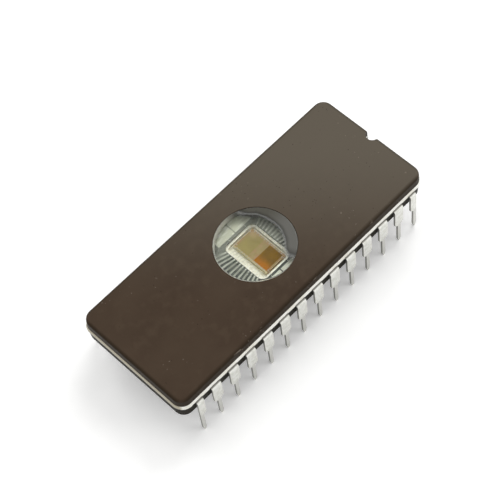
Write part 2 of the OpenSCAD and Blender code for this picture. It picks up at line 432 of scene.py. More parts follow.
@dataclass(frozen=True, kw_only=True)
class PressedCeramic:
    """Dark pressed ceramic: cloudy, finely grained, with pinholes and a few pale scuffs, painted shade on
    its edges and sides, and a painted sheen towards the notch end.
    """

    name: str
    body: Colour
    cloud: Colour
    # rim: painted shade on the band along the outline and on the side walls, which turn from the light
    rim: Colour
    pinhole: Colour
    scuff: Colour
    # painted sheen: a greyer tone for the reflection that grows towards the notch end and the far side
    painted_sheen: Colour
    sheen_start: float
    sheen_end: float = 17.0
    sheen_lean: float = 0.9
    sheen_share: float = 0.9
    top: float
    rim_reach: float
    rim_share: float = 0.92
    side_drop: float
    side_wall: float = 0.6
    end_wall: float = 1.0
    wall_fade: float = 0.4
    broad_clouds: Pattern = Pattern(size=7.0, detail=4.0, start=0.38, end=0.72)
    small_clouds: Pattern = Pattern(size=1.3, detail=3.0, start=0.38, end=0.72)
    grains: Pattern = Pattern(size=0.11, detail=2.0, start=0.45, end=0.7)
    grain_share: float = 0.3
    hole_pitch: float = 0.5
    hole_edge: float = 0.13
    hole_core: float = 0.07
    hole_patches: Pattern = Pattern(size=2.2, detail=1.0, start=0.5, end=0.6)
    hole_share: float = 0.7
    worn_low: float = 0.5
    worn_full: float = 0.1
    worn_marks: Pattern = Pattern(size=0.5, detail=2.0, start=0.6, end=0.66, stretch=(3.0, 0.7, 1.0))
    worn_patches: Pattern = Pattern(size=5.0, detail=1.0, start=0.5, end=0.62)
    spots: Pattern = Pattern(size=0.36, detail=2.0, start=0.68, end=0.73)
    spot_share: float = 0.5
    scuff_share: float = 0.6
    gloss: Sway
    grain_relief: Relief
    wave_relief: Relief
    shine: float = 0.05

    def edge_shade_mask(self, graph: NodeGraph) -> Socket:
        """Mask of the painted shade: the sides, and the band along the plate's outline."""
        along = graph.math("ABSOLUTE", graph.axis(Axis.X))
        across = graph.math("ABSOLUTE", graph.axis(Axis.Y))
        ends = graph.step(along, CHIP.half_l - self.rim_reach, CHIP.half_l)
        sides = graph.step(across, CHIP.half_w - self.rim_reach, CHIP.half_w)
        walls = graph.step(graph.axis(Axis.Z), self.top - self.side_drop / 2, self.top - self.side_drop)
        side_start = CHIP.half_w - self.side_wall
        end_start = CHIP.half_l - self.end_wall
        at_side = graph.both(walls, graph.step(across, side_start - self.wall_fade, side_start))
        at_end = graph.both(walls, graph.step(along, end_start - self.wall_fade, end_start))
        return graph.either(graph.either(ends, sides), graph.either(at_side, at_end))

    def scuff_mask(self, graph: NodeGraph) -> Socket:
        """Mask of the small scuffs, which gather along the upper edge."""
        near_top = graph.step(graph.axis(Axis.Z), self.top - self.worn_low, self.top - self.worn_full)
        at_edge = graph.both(self.edge_shade_mask(graph), near_top)
        patches = self.worn_patches.mask(graph)
        worn_edge = graph.both(graph.both(self.worn_marks.mask(graph), at_edge), patches)
        spots = graph.both(self.spots.mask(graph), graph.both(patches, self.spot_share))
        return graph.either(worn_edge, spots)

    def colour(self, graph: NodeGraph) -> Socket:
        """The ceramic's colour with its painted edge shade and painted sheen, without what else the part
        may carry.
        """
        clouds = graph.either(self.broad_clouds.mask(graph), self.small_clouds.mask(graph))
        ground = graph.mix(clouds, self.body, self.cloud)
        ground = graph.mix(graph.both(self.grains.mask(graph), self.grain_share), ground, self.cloud)
        # Painted sheen: greyer and lighter towards the notch end and the far side.
        slanted = graph.math("ADD", graph.axis(Axis.X), graph.both(graph.axis(Axis.Y), self.sheen_lean))
        sheen = graph.step(slanted, self.sheen_start, self.sheen_end)
        ground = graph.mix(graph.both(sheen, self.sheen_share), ground, self.painted_sheen)
        # Painted shade: the rim colour darkens the outline band and the side walls.
        ground = graph.mix(graph.both(self.edge_shade_mask(graph), self.rim_share), ground, self.rim)
        dots = graph.step(graph.cells(self.hole_pitch), self.hole_edge, self.hole_core)
        holes = graph.both(dots, self.hole_patches.mask(graph))
        ground = graph.mix(graph.both(holes, self.hole_share), ground, self.pinhole)
        return graph.mix(graph.both(self.scuff_mask(graph), self.scuff_share), ground, self.scuff)

    def dressed(self, graph: NodeGraph, colour: Socket) -> Socket:
        """The colour as it is on this part; plain ceramic adds nothing."""
        return colour

    def metal_mask(self, graph: NodeGraph) -> Socket | float:
        """Share of bare metal on the surface; plain ceramic has none."""
        return 0.0

    def build(self) -> Material:
        """Makes the material."""
        graph = NodeGraph(self.name)
        colour = self.dressed(graph, self.colour(graph))
        self.grain_relief.press(graph)
        self.wave_relief.press(graph)
        return graph.surface(
            base_color=colour,
            roughness=self.gloss.value(graph),
            metallic=self.metal_mask(graph),
            specular_ior_level=self.shine,
        )


@dataclass(frozen=True, kw_only=True)
class WindowedCeramic(PressedCeramic):
    """The cap's ceramic, with the fused joint on the wall where the window sits."""

    joint: FusedJoint = FusedJoint()
    joint_edge: float = CHIP.window_r - 0.01
    joint_full: float = CHIP.window_r - 0.05

    def dressed(self, graph: NodeGraph, colour: Socket) -> Socket:
        """The ceramic's colour with the joint round the window."""
        around = graph.step(graph.away(), self.joint_edge, self.joint_full)
        return graph.mix(around, colour, self.joint.colour(graph))


@dataclass(frozen=True, kw_only=True)
class CavityCeramic(PressedCeramic):
    """The base's ceramic, with pale metal fired on to the die cavity and a narrow rim round it."""

    fired: Colour
    fired_dull: Colour
    fired_rim: float = 0.28
    fired_soft: float = 0.02
    fired_low: Fade = Fade(Axis.Z, CHIP.cavity_floor - 0.1, CHIP.cavity_floor - 0.05)
    fired_streaks: Pattern = Pattern(size=0.3, detail=2.0, start=0.4, end=0.7)

    def metal_mask(self, graph: NodeGraph) -> Socket:
        """Mask of the metal in the cavity and on its narrow rim."""
        reach_l = CHIP.cavity_l / 2 + self.fired_rim
        reach_w = CHIP.cavity_w / 2 + self.fired_rim
        along = Band(Axis.X, CHIP.cavity_x - reach_l, CHIP.cavity_x + reach_l, self.fired_soft)
        across = Band(Axis.Y, CHIP.cavity_y - reach_w, CHIP.cavity_y + reach_w, self.fired_soft)
        return graph.both(graph.both(along.mask(graph), across.mask(graph)), self.fired_low.mask(graph))

    def dressed(self, graph: NodeGraph, colour: Socket) -> Socket:
        """The ceramic's colour with the cavity's metal over it."""
        streaked = graph.mix(self.fired_streaks.mask(graph), self.fired, self.fired_dull)
        return graph.mix(self.metal_mask(graph), colour, streaked)


@dataclass(frozen=True)
class SealGlass:
    """Seal glass: a pale glazed bead outside, partly a painted highlight, and darker smooth glass below
    the window.
    """

    name: str
    # bead: pale glass, raised to near white as a painted highlight on its outer face
    bead: Colour
    bead_shade: Colour
    # painted contact shadow where the glass meets each shoulder
    contact_shade: Colour
    # painted shade on the bead at the near end, which faces away from the light
    near_end_shade: Colour
    floor: Colour
    floor_shade: Colour
    # painted light on the glass below the window, towards +X and +Y
    painted_light: Colour
    deep: Colour
    smeared: Colour
    bead_clouds: Pattern = Pattern(size=0.9, detail=3.0, start=0.4, end=0.7)
    stains: Pattern = Pattern(size=0.3, detail=2.0, start=0.66, end=0.76)
    stain_share: float = 0.4
    shaded_end: Fade = Fade(Axis.X, -18.1, -18.4)
    near_end_shade_share: float = 0.9
    contact_shade_side: float = 0.12
    contact_shade_edge: float = 0.12
    contact_shade_full: float = 0.05
    contact_shade_sway: Sway = Sway(size=0.25, detail=2.0, low=-0.06, high=0.06)
    contact_shade_share: float = 0.9
    floor_clouds: Pattern = Pattern(size=0.6, detail=3.0, start=0.35, end=0.7)
    floor_fade: float = 0.4
    light_behind: Fade = Fade(Axis.Y, 1.4, 2.4)
    light_beside: Fade = Fade(Axis.X, 1.6, 2.4)
    light_share: float = 0.9
    deep_beside: Fade = Fade(Axis.X, 2.0, 2.6)
    deep_before: Fade = Fade(Axis.Y, -0.6, -1.8)
    smear_behind: Fade = Fade(Axis.Y, 2.9, 3.2)
    smear_along: Band = Band(Axis.X, low=-1.2, high=1.2, soft=0.6)
    smear_share: float = 0.8
    gloss: Sway = Sway(size=0.7, detail=2.0, low=0.16, high=0.4)
    relief: Relief = Relief(size=0.5, detail=2.0, depth=0.02)

    def contact_shade_mask(self, graph: NodeGraph) -> Socket:
        """Mask of the painted contact shadow where the glass meets the metal, over each shoulder."""
        half_pitch = CHIP.lead_pitch / 2
        gap_reach = half_pitch - CHIP.shoulder_w / 2
        from_gap = graph.math("PINGPONG", graph.axis(Axis.X), half_pitch)
        at_lead = graph.step(from_gap, gap_reach - self.contact_shade_side, gap_reach)
        ragged = graph.math("ADD", graph.axis(Axis.Z), self.contact_shade_sway.value(graph))
        low = graph.step(ragged, CHIP.lead_top + self.contact_shade_edge, CHIP.lead_top + self.contact_shade_full)
        return graph.both(at_lead, low)

    def bead_colour(self, graph: NodeGraph) -> Socket:
        """Colour of the glass outside the package: pale glass raised to near white as a painted
        highlight.
        """
        colour = graph.mix(self.bead_clouds.mask(graph), self.bead, self.bead_shade)
        stains = graph.both(self.stains.mask(graph), self.stain_share)
        colour = graph.mix(stains, colour, self.floor_shade)
        # Painted shade: the bead turns tan at the near end, away from the light.
        near_end_shade = graph.both(self.shaded_end.mask(graph), self.near_end_shade_share)
        colour = graph.mix(near_end_shade, colour, self.near_end_shade)
        # Painted contact shadow over each shoulder, just above the leads.
        return graph.mix(graph.both(self.contact_shade_mask(graph), self.contact_shade_share), colour, self.contact_shade)

    def floor_colour(self, graph: NodeGraph) -> Socket:
        """Colour of the glass below the window, with painted light towards +X and +Y, and darker towards
        +X and -Y.
        """
        colour = graph.mix(self.floor_clouds.mask(graph), self.floor, self.floor_shade)
        # Painted light: the glass below the window is paler towards +X and +Y.
        painted_light = graph.either(self.light_behind.mask(graph), self.light_beside.mask(graph))
        colour = graph.mix(graph.both(painted_light, self.light_share), colour, self.painted_light)
        # Darker towards +X and -Y.
        deep = graph.both(self.deep_beside.mask(graph), self.deep_before.mask(graph))
        colour = graph.mix(deep, colour, self.deep)
        smear = graph.both(self.smear_behind.mask(graph), self.smear_along.mask(graph))
        return graph.mix(graph.both(smear, self.smear_share), colour, self.smeared)

    def build(self) -> Material:
        """Makes the material."""
        graph = NodeGraph(self.name)
        floor_start = CHIP.seal_floor_r + self.floor_fade
        below_window = graph.step(graph.away(), floor_start, CHIP.seal_floor_r)
        colour = graph.mix(below_window, self.bead_colour(graph), self.floor_colour(graph))
        self.relief.press(graph)
        return graph.surface(base_color=colour, roughness=self.gloss.value(graph))


@dataclass(frozen=True)
class WindowGlass:
    """The lens: clear and a little wavy, milky along one side, and opaque where it is fused in."""

    name: str
    tint: Colour
    milky: Colour
    milky_dim: Colour
    reflection: Colour
    joint: FusedJoint = FusedJoint()
    milky_turn: Fade = Fade(Axis.Y, -1.0, 2.0)
    side_inset: float = 0.04
    side_soft: float = 0.02
    rim_reach: float = 0.2
    rim_share: float = 0.25
    haze_x: float = -0.72
    haze_y: float = 0.34
    haze_start: float = 3.7
    haze_end: float = 4.5
    haze_sway: Sway = Sway(size=1.6, detail=2.0, low=-0.2, high=0.2)
    haze_lean: float = 0.35
    haze_side_start: float = -0.4
    haze_side_end: float = 1.4
    haze_share: float = 0.94
    coloured_full: float = 0.5
    smears: Pattern = Pattern(size=1.1, detail=3.0, start=0.5, end=0.75)
    smear_share: float = 0.05
    clear_roughness: float = 0.015
    side_roughness: float = 0.35
    relief: Relief = Relief(size=2.2, detail=1.0, depth=0.01)
    ior: float = 1.48

    def haze(self, graph: NodeGraph) -> Socket:
        """Mask of the milky rim, which is broader on one side than on the other."""
        wavy = graph.math("ADD", graph.away(self.haze_x, self.haze_y), self.haze_sway.value(graph))
        across = graph.math("ABSOLUTE", graph.axis(Axis.Y))
        sideways = graph.math("SUBTRACT", graph.axis(Axis.X), graph.both(across, self.haze_lean))
        on_side = graph.step(sideways, self.haze_side_start, self.haze_side_end)
        broad = graph.both(graph.step(wavy, self.haze_start, self.haze_end), on_side)
        rim = graph.step(graph.away(), CHIP.window_r - self.rim_reach, CHIP.window_r)
        return graph.either(graph.both(broad, self.haze_share), graph.both(rim, self.rim_share))

    def build(self) -> Material:
        """Makes the material."""
        graph = NodeGraph(self.name)
        side_low = CHIP.window_low + self.side_inset
        side_high = CHIP.top - self.side_inset
        side = Band(Axis.Z, side_low, side_high, self.side_soft).mask(graph)
        cloudy = graph.either(self.haze(graph), side)
        face = graph.mix(self.milky_turn.mask(graph), self.milky, self.milky_dim)
        cover = graph.mix(side, face, self.joint.colour(graph))
        rough = graph.either(side, graph.both(self.smears.mask(graph), self.smear_share))
        self.relief.press(graph)
        return graph.surface(
            base_color=graph.mix(graph.step(cloudy, 0.0, self.coloured_full), self.tint, cover),
            roughness=graph.span(rough, self.clear_roughness, self.side_roughness),
            transmission_weight=graph.math("SUBTRACT", 1.0, cloudy),
            ior=self.ior,
            specular_tint=self.reflection,
        )


@dataclass(frozen=True)
class LeadMetal:
    """Lead frame: pale metal on the fingers inside, and a bright mottled tin finish outside, with painted
    light and a painted highlight inside and painted shade at the bend and sides.
    """

    name: str
    inner: Colour
    inner_dull: Colour
    # painted light on the fingers towards +X, under the cap's far edge
    inner_lit: Colour
    plate: Colour
    plate_dull: Colour
    # painted highlight: a bright streak of reflection across the far plates
    glint: Colour
    tin: Colour
    tin_shade: Colour
    leg: Colour
    bare: Colour
    # painted shade along the bend, where the lead passes under the glass bead
    bend_shade: Colour
    # side faces: bare cut metal, darkened further as painted shade
    cut_edge_and_shade: Colour
    inner_reach: float = 7.1
    inner_fade: float = 0.2
    inner_streaks: Pattern = Pattern(size=0.8, detail=2.0, start=0.4, end=0.64, stretch=(2.6, 0.7, 1.0))
    inner_lit_turn: Fade = Fade(Axis.X, 1.6, 2.4)
    plate_reach: float = 2.9
    plate_fade: float = 0.1
    plate_along: Band = Band(Axis.X, low=-2.6, high=2.6, soft=0.1)
    plate_streaks: Pattern = Pattern(size=0.7, detail=3.0, start=0.5, end=0.62, stretch=(3.4, 0.6, 1.0))
    plate_near: Fade = Fade(Axis.Y, -2.0, -3.0)
    plate_near_share: float = 0.7
    glint_across: Band = Band(Axis.Y, low=4.02, high=4.3, soft=0.18)
    glint_along: Band = Band(Axis.X, low=-2.2, high=0.0, soft=0.5)
    glint_patches: Pattern = Pattern(size=0.4, detail=3.0, start=0.34, end=0.56, stretch=(3.0, 0.6, 1.0))
    mottle: Pattern = Pattern(size=0.35, detail=4.0, start=0.35, end=0.7)
    leg_sway: Sway = Sway(size=0.7, detail=1.0, low=-0.2, high=0.2)
    leg_fade: float = 0.45
    tip_sway: Sway = Sway(size=0.6, detail=1.0, low=-0.3, high=0.3)
    tip_height: float = 0.5
    tip_share: float = 0.5
    cut_start: float = 0.6
    cut_full: float = 0.8
    cut_share: float = 0.85
    bend: Fade = Fade(Axis.Z, CHIP.lead_top - 0.12, CHIP.lead_top - 0.04)
    bend_shade_share: float = 0.85
    dents: Relief = Relief(size=0.22, detail=3.0, depth=0.008)
    rolling: Relief = Relief(size=0.05, detail=2.0, depth=0.002, stretch=(1.0, 1.0, 14.0))
    inner_gloss: float = 0.24
    outer_gloss: float = 0.36
    gloss_sway: Sway = Sway(size=0.5, detail=3.0, low=-0.1, high=0.1)
    inner_metal: float = 0.2
    outer_metal: float = 1.0

    def inner_colour(self, graph: NodeGraph) -> Socket:
        """Colour of the fingers and plates inside the package, with painted light on the fingers towards
        +X and a painted highlight across the far plates.
        """
        fingers = graph.mix(self.inner_streaks.mask(graph), self.inner_dull, self.inner)
        # Painted light: the fingers are paler and even towards +X.
        fingers = graph.mix(self.inner_lit_turn.mask(graph), fingers, self.inner_lit)
        from_cavity = graph.math("ABSOLUTE", graph.math("SUBTRACT", graph.axis(Axis.Y), CHIP.cavity_y))
        beyond = graph.step(from_cavity, self.plate_reach, self.plate_reach + self.plate_fade)
        near = graph.both(self.plate_near.mask(graph), self.plate_near_share)
        bright = graph.either(self.plate_streaks.mask(graph), near)
        plates = graph.mix(bright, self.plate_dull, self.plate)
        # Painted highlight across the far plates.
        glint = graph.both(self.glint_across.mask(graph), self.glint_along.mask(graph))
        plates = graph.mix(graph.both(glint, self.glint_patches.mask(graph)), plates, self.glint)
        return graph.mix(graph.both(beyond, self.plate_along.mask(graph)), fingers, plates)

    def outer_colour(self, graph: NodeGraph) -> Socket:
        """Colour of the shoulders and legs outside the package, with painted shade along the bend, and
        side faces dark as bare cut metal and painted shade.
        """
        tin = graph.mix(self.mottle.mask(graph), self.tin, self.tin_shade)
        leg_line = graph.math("ADD", graph.axis(Axis.Z), self.leg_sway.value(graph))
        tin = graph.mix(graph.step(leg_line, CHIP.seat + self.leg_fade, CHIP.seat), tin, self.leg)
        tip_line = graph.math("ADD", graph.axis(Axis.Z), self.tip_sway.value(graph))
        tips = graph.step(tip_line, self.tip_height, 0.0)
        tin = graph.mix(graph.both(tips, self.tip_share), tin, self.bare)
        # The side faces are the bare cut edges, and their dark tone is also painted shade.
        side_faces = graph.step(graph.faces_along(Axis.X), self.cut_start, self.cut_full)
        tin = graph.mix(graph.both(side_faces, self.cut_share), tin, self.cut_edge_and_shade)
        # Painted shade along the bend, under the glass bead.
        return graph.mix(graph.both(self.bend.mask(graph), self.bend_shade_share), tin, self.bend_shade)

    def build(self) -> Material:
        """Makes the material."""
        graph = NodeGraph(self.name)
        across = graph.math("ABSOLUTE", graph.axis(Axis.Y))
        outside = graph.step(across, self.inner_reach, self.inner_reach + self.inner_fade)
        matt = graph.step(across, self.inner_reach, self.inner_reach - self.inner_fade)
        gloss = graph.span(outside, self.inner_gloss, self.outer_gloss)
        self.dents.press(graph)
        self.rolling.press(graph)
        return graph.surface(
            base_color=graph.mix(outside, self.inner_colour(graph), self.outer_colour(graph)),
            roughness=graph.math("ADD", gloss, self.gloss_sway.value(graph)),
            metallic=graph.span(matt, self.outer_metal, self.inner_metal),
        )


@dataclass(frozen=True)
class PatchyMetal:
    """Metal of two tones in soft patches, for the paste under the die, the wires and their pads."""

    name: str
    bright: Colour
    dull: Colour
    patches: Pattern
    relief: Relief
    gloss: Sway
    metal: float

    def build(self) -> Material:
        """Makes the material."""
        graph = NodeGraph(self.name)
        colour = graph.mix(self.patches.mask(graph), self.bright, self.dull)
        self.relief.press(graph)
        return graph.surface(base_color=colour, roughness=self.gloss.value(graph), metallic=self.metal)


@dataclass(frozen=True)
class DieSilicon:
    """Silicon with its clear top layer, whose thickness tints it from pink to tan."""

    name: str
    tan: Colour
    pink: Colour
    pale: Colour
    patches: Pattern = Pattern(size=0.9, detail=2.0, start=0.4, end=0.62)
    lines: Pattern = Pattern(size=0.05, detail=1.0, start=0.45, end=0.6, stretch=(6.0, 1.0, 1.0))
    line_share: float = 0.25
    line_depth: float = 0.001
    pale_edge: Fade = Fade(Axis.X, -1.0, -1.15)
    gloss: Sway = Sway(size=0.5, detail=2.0, low=0.2, high=0.34)
    shine: float = 0.2

    def build(self) -> Material:
        """Makes the material."""
        graph = NodeGraph(self.name)
        lines = self.lines.mask(graph)
        colour = graph.mix(self.patches.mask(graph), self.tan, self.pink)
        colour = graph.mix(graph.both(lines, self.line_share), colour, self.pink)
        colour = graph.mix(self.pale_edge.mask(graph), colour, self.pale)
        graph.bump(lines, self.line_depth)
        return graph.surface(
            base_color=colour, roughness=self.gloss.value(graph), specular_ior_level=self.shine
        )


@dataclass(frozen=True)
class ArrayFilm:
    """A field of memory cells: fine rows under a clear film that shifts the colour at one corner."""

    name: str
    ground: Colour
    shade: Colour
    corner: Colour
    corner_x: float
    corner_y: float
    corner_reach: float
    corner_lean: float
    corner_core: float = 0.15
    corner_sway: Sway = Sway(size=0.5, detail=1.0, low=-0.25, high=0.25)
    patches: Pattern = Pattern(size=0.8, detail=2.0, start=0.38, end=0.66)
    row_pitch: float = 0.06
    row_edge: float = 0.4
    row_share: float = 0.14
    row_depth: float = 0.0015
    gloss: Sway = Sway(size=0.4, detail=2.0, low=0.16, high=0.3)
    shine: float = 0.1

    def build(self) -> Material:
        """Makes the material."""
        graph = NodeGraph(self.name)
        colour = graph.mix(self.patches.mask(graph), self.ground, self.shade)
        away = graph.away(self.corner_x, self.corner_y, self.corner_lean)
        wavy = graph.math("ADD", away, self.corner_sway.value(graph))
        colour = graph.mix(graph.step(wavy, self.corner_reach, self.corner_core), colour, self.corner)
        turns = graph.both(graph.axis(Axis.Y), 2.0 * math.pi / self.row_pitch)
        rows = graph.step(graph.math("SINE", turns), -self.row_edge, self.row_edge)
        colour = graph.mix(graph.both(rows, self.row_share), colour, self.shade)
        graph.bump(rows, self.row_depth)
        return graph.surface(
            base_color=colour, roughness=self.gloss.value(graph), specular_ior_level=self.shine
        )


@dataclass(frozen=True)
class StudioPaper:
    """Pale floor that keeps the object's shadow, with a thin veil of white over it."""

    name: str
    paper: Colour
    fibre: Colour
    veil: float
    patches: Pattern = Pattern(size=3.0, detail=3.0, start=0.4, end=0.7)
    roughness: float = 0.9
    shine: float = 0.1

    def build(self) -> Material:
        """Makes the material, whose veil only camera, metal and glass see."""
        graph = NodeGraph(self.name)
        return graph.surface(
            base_color=graph.mix(self.patches.mask(graph), self.paper, self.fibre),
            roughness=self.roughness,
            specular_ior_level=self.shine,
            emission_color=WHITE,
            emission_strength=graph.both(background_rays(graph.tree), self.veil),
        )


class MeshDraft:
    """Corners and faces of one piece, collected in millimetres."""

    def __init__(self) -> None:
        """Starts with nothing drawn."""
        self.corners: list[Triple] = []
        self.faces: list[tuple[int, ...]] = []

    def ring(self, centre: Sequence[float], half_l: float, half_w: float, height: float) -> list[int]:
        """Adds the four corners of a level rectangle.

        Args:
            centre: Its centre along X and Y.
            half_l: Half its length along X.
            half_w: Half its width along Y.
            height: Its height.

        Returns:
            The corners' numbers, anticlockwise from above.
        """
        start = len(self.corners)
        for sign_x, sign_y in ((-1, -1), (1, -1), (1, 1), (-1, 1)):
            self.corners.append((centre[0] + sign_x * half_l, centre[1] + sign_y * half_w, height))
        return list(range(start, len(self.corners)))

    def wall(self, lower: Sequence[int], upper: Sequence[int]) -> None:
        """Joins two rings with faces that look outwards.

        Args:
            lower: Corners of the lower ring.
            upper: Corners of the upper ring, as many.
        """
        for k in range(len(lower)):
            after = (k + 1) % len(lower)
            self.faces.append((lower[k], lower[after], upper[after], upper[k]))

    def plate(
        self, centre: Sequence[float], size: Sequence[float], low: float, high: float, chamfer: float
    ) -> None:
        """Adds a level plate with a chamfer round its upper edge.

        Args:
            centre: Centre along X and Y.
            size: Length along X and width along Y.
            low: Height of its underside.
            high: Height of its upper face.
            chamfer: Width and height of the chamfer.
        """
        half_l = size[0] / 2
        half_w = size[1] / 2
        foot = self.ring(centre, half_l, half_w, low)
        edge = self.ring(centre, half_l, half_w, high - chamfer)
        crown = self.ring(centre, half_l - chamfer, half_w - chamfer, high)
        self.wall(foot, edge)
        self.wall(edge, crown)
        self.faces.append(tuple(crown))
        self.faces.append(tuple(reversed(foot)))

    def shape(self, name: str, finish: Material) -> bpy.types.Object:
        """Makes the drawn shape as an object of the scene.

        Args:
            name: Name of the object.
            finish: Its material.

        Returns:
            The new object.
        """
        mesh = bpy.data.meshes.new(name)
        mesh.from_pydata([tuple(part * MM for part in corner) for corner in self.corners], [], self.faces)
        mesh.validate()
        mesh.materials.append(finish)
        made = bpy.data.objects.new(name, mesh)
        bpy.context.scene.collection.objects.link(made)
        LOG.info("%s: %d faces", name, len(self.faces))
        return made

    def piece(self, name: str, finish: Material) -> None:
        """Makes the drawn shape as a piece that rides on the chip.

        Args:
            name: Name of the piece.
            finish: Its material.
        """
        made = self.shape(name, finish)
        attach(made, BODY)


def dress(nodes: Nodes, names: Sequence[str], finish: Material) -> None:
    """Gives CAD nodes a finish.

    Args:
        nodes: The frame's nodes by name.
        names: Names of those to dress.
        finish: Their material.
    """
    for name in names:
        node = nodes[name]
        if not node.material_slots:
            node.data.materials.append(finish)
        for slot in node.material_slots:
            slot.material = finish
        LOG.info("%s wears %s", name, finish.name)


@dataclass(frozen=True)
class CeramicBody:
    """The pressed ceramic base and cap."""

    cap: WindowedCeramic = WindowedCeramic(
        name="cap_ceramic",
        body=tone(65, 52, 41),
        cloud=tone(72, 59, 47),
        # rim: painted shade on the cap's edges and sides
        rim=tone(44, 35, 24),
        pinhole=tone(34, 26, 20),
        scuff=tone(150, 138, 126),
        # painted sheen towards the notch end
        painted_sheen=tone(96, 89, 78),
        sheen_start=-10.0,
        top=CHIP.top,
        rim_reach=0.55,
        side_drop=0.35,
        gloss=Sway(size=2.4, detail=3.0, low=0.32, high=0.5),
        grain_relief=Relief(size=0.09, detail=2.0, depth=0.005),
        wave_relief=Relief(size=1.6, detail=2.0, depth=0.01),
    )
    base: CavityCeramic = CavityCeramic(
        name="base_ceramic",
        body=tone(38, 34, 24),
        cloud=tone(48, 44, 33),
        # rim: painted shade on the base's edges and sides
        rim=tone(30, 27, 18),
        pinhole=tone(22, 20, 17),
        scuff=tone(120, 116, 104),
        # painted sheen towards the notch end
        painted_sheen=tone(40, 37, 30),
        sheen_start=-4.0,
        top=CHIP.seal_line,
        rim_reach=0.4,
        side_drop=0.2,
        gloss=Sway(size=2.4, detail=3.0, low=0.42, high=0.6),
        grain_relief=Relief(size=0.09, detail=2.0, depth=0.008),
        wave_relief=Relief(size=1.6, detail=2.0, depth=0.016),
        fired=tone(255, 252, 243),
        fired_dull=tone(234, 228, 209),
    )

    def build(self, nodes: Nodes) -> None:
        """Dresses the cap and the base."""
        dress(nodes, ["cap"], self.cap.build())
        dress(nodes, ["base"], self.base.build())


@dataclass(frozen=True)
class GlassParts:
    """The seal glass between the ceramics, and the round window in the cap."""

    seal: SealGlass = SealGlass(
        name="seal_glass",
        # bead: pale glass and painted highlight
        bead=tone(255, 254, 247),
        bead_shade=tone(242, 239, 226),
        # painted contact shadow over the shoulders
        contact_shade=tone(52, 44, 36),
        # painted shade on the bead at the near end
        near_end_shade=tone(178, 168, 142),
        floor=tone(70, 75, 69),
        floor_shade=tone(92, 96, 89),
        # painted light below the window
        painted_light=tone(150, 152, 142),
        deep=tone(40, 42, 37),
        smeared=tone(176, 179, 162),
    )
    window: WindowGlass = WindowGlass(
        name="window_glass",
        tint=tone(246, 248, 244),
        milky=tone(102, 101, 96),
        milky_dim=tone(82, 80, 72),
        reflection=(0.3, 0.3, 0.3),
    )

    def build(self, nodes: Nodes) -> None:
        """Dresses the seal and the window."""
        dress(nodes, ["seal_glass"], self.seal.build())
        dress(nodes, ["window"], self.window.build())


@dataclass(frozen=True)
class LeadFrame:
    """The 28 formed leads."""

    count: int = 28
    finish: LeadMetal = LeadMetal(
        name="lead_metal",
        inner=tone(216, 218, 206),
        inner_dull=tone(172, 175, 162),
        # painted light on the fingers towards +X
        inner_lit=tone(206, 207, 196),
        plate=tone(244, 245, 232),
        plate_dull=tone(226, 227, 208),
        # painted highlight on the far plates
        glint=tone(255, 255, 252),
        tin=tone(224, 224, 219),
        tin_shade=tone(207, 207, 199),
        leg=tone(202, 202, 197),
        bare=tone(196, 193, 184),
        # painted shade along the bend
        bend_shade=tone(84, 80, 72),
        # bare cut edges and painted shade
        cut_edge_and_shade=tone(134, 133, 126),
    )

    def build(self, nodes: Nodes) -> None:
        """Dresses the leads."""
        dress(nodes, [f"lead_{number}" for number in range(1, self.count + 1)], self.finish.build())


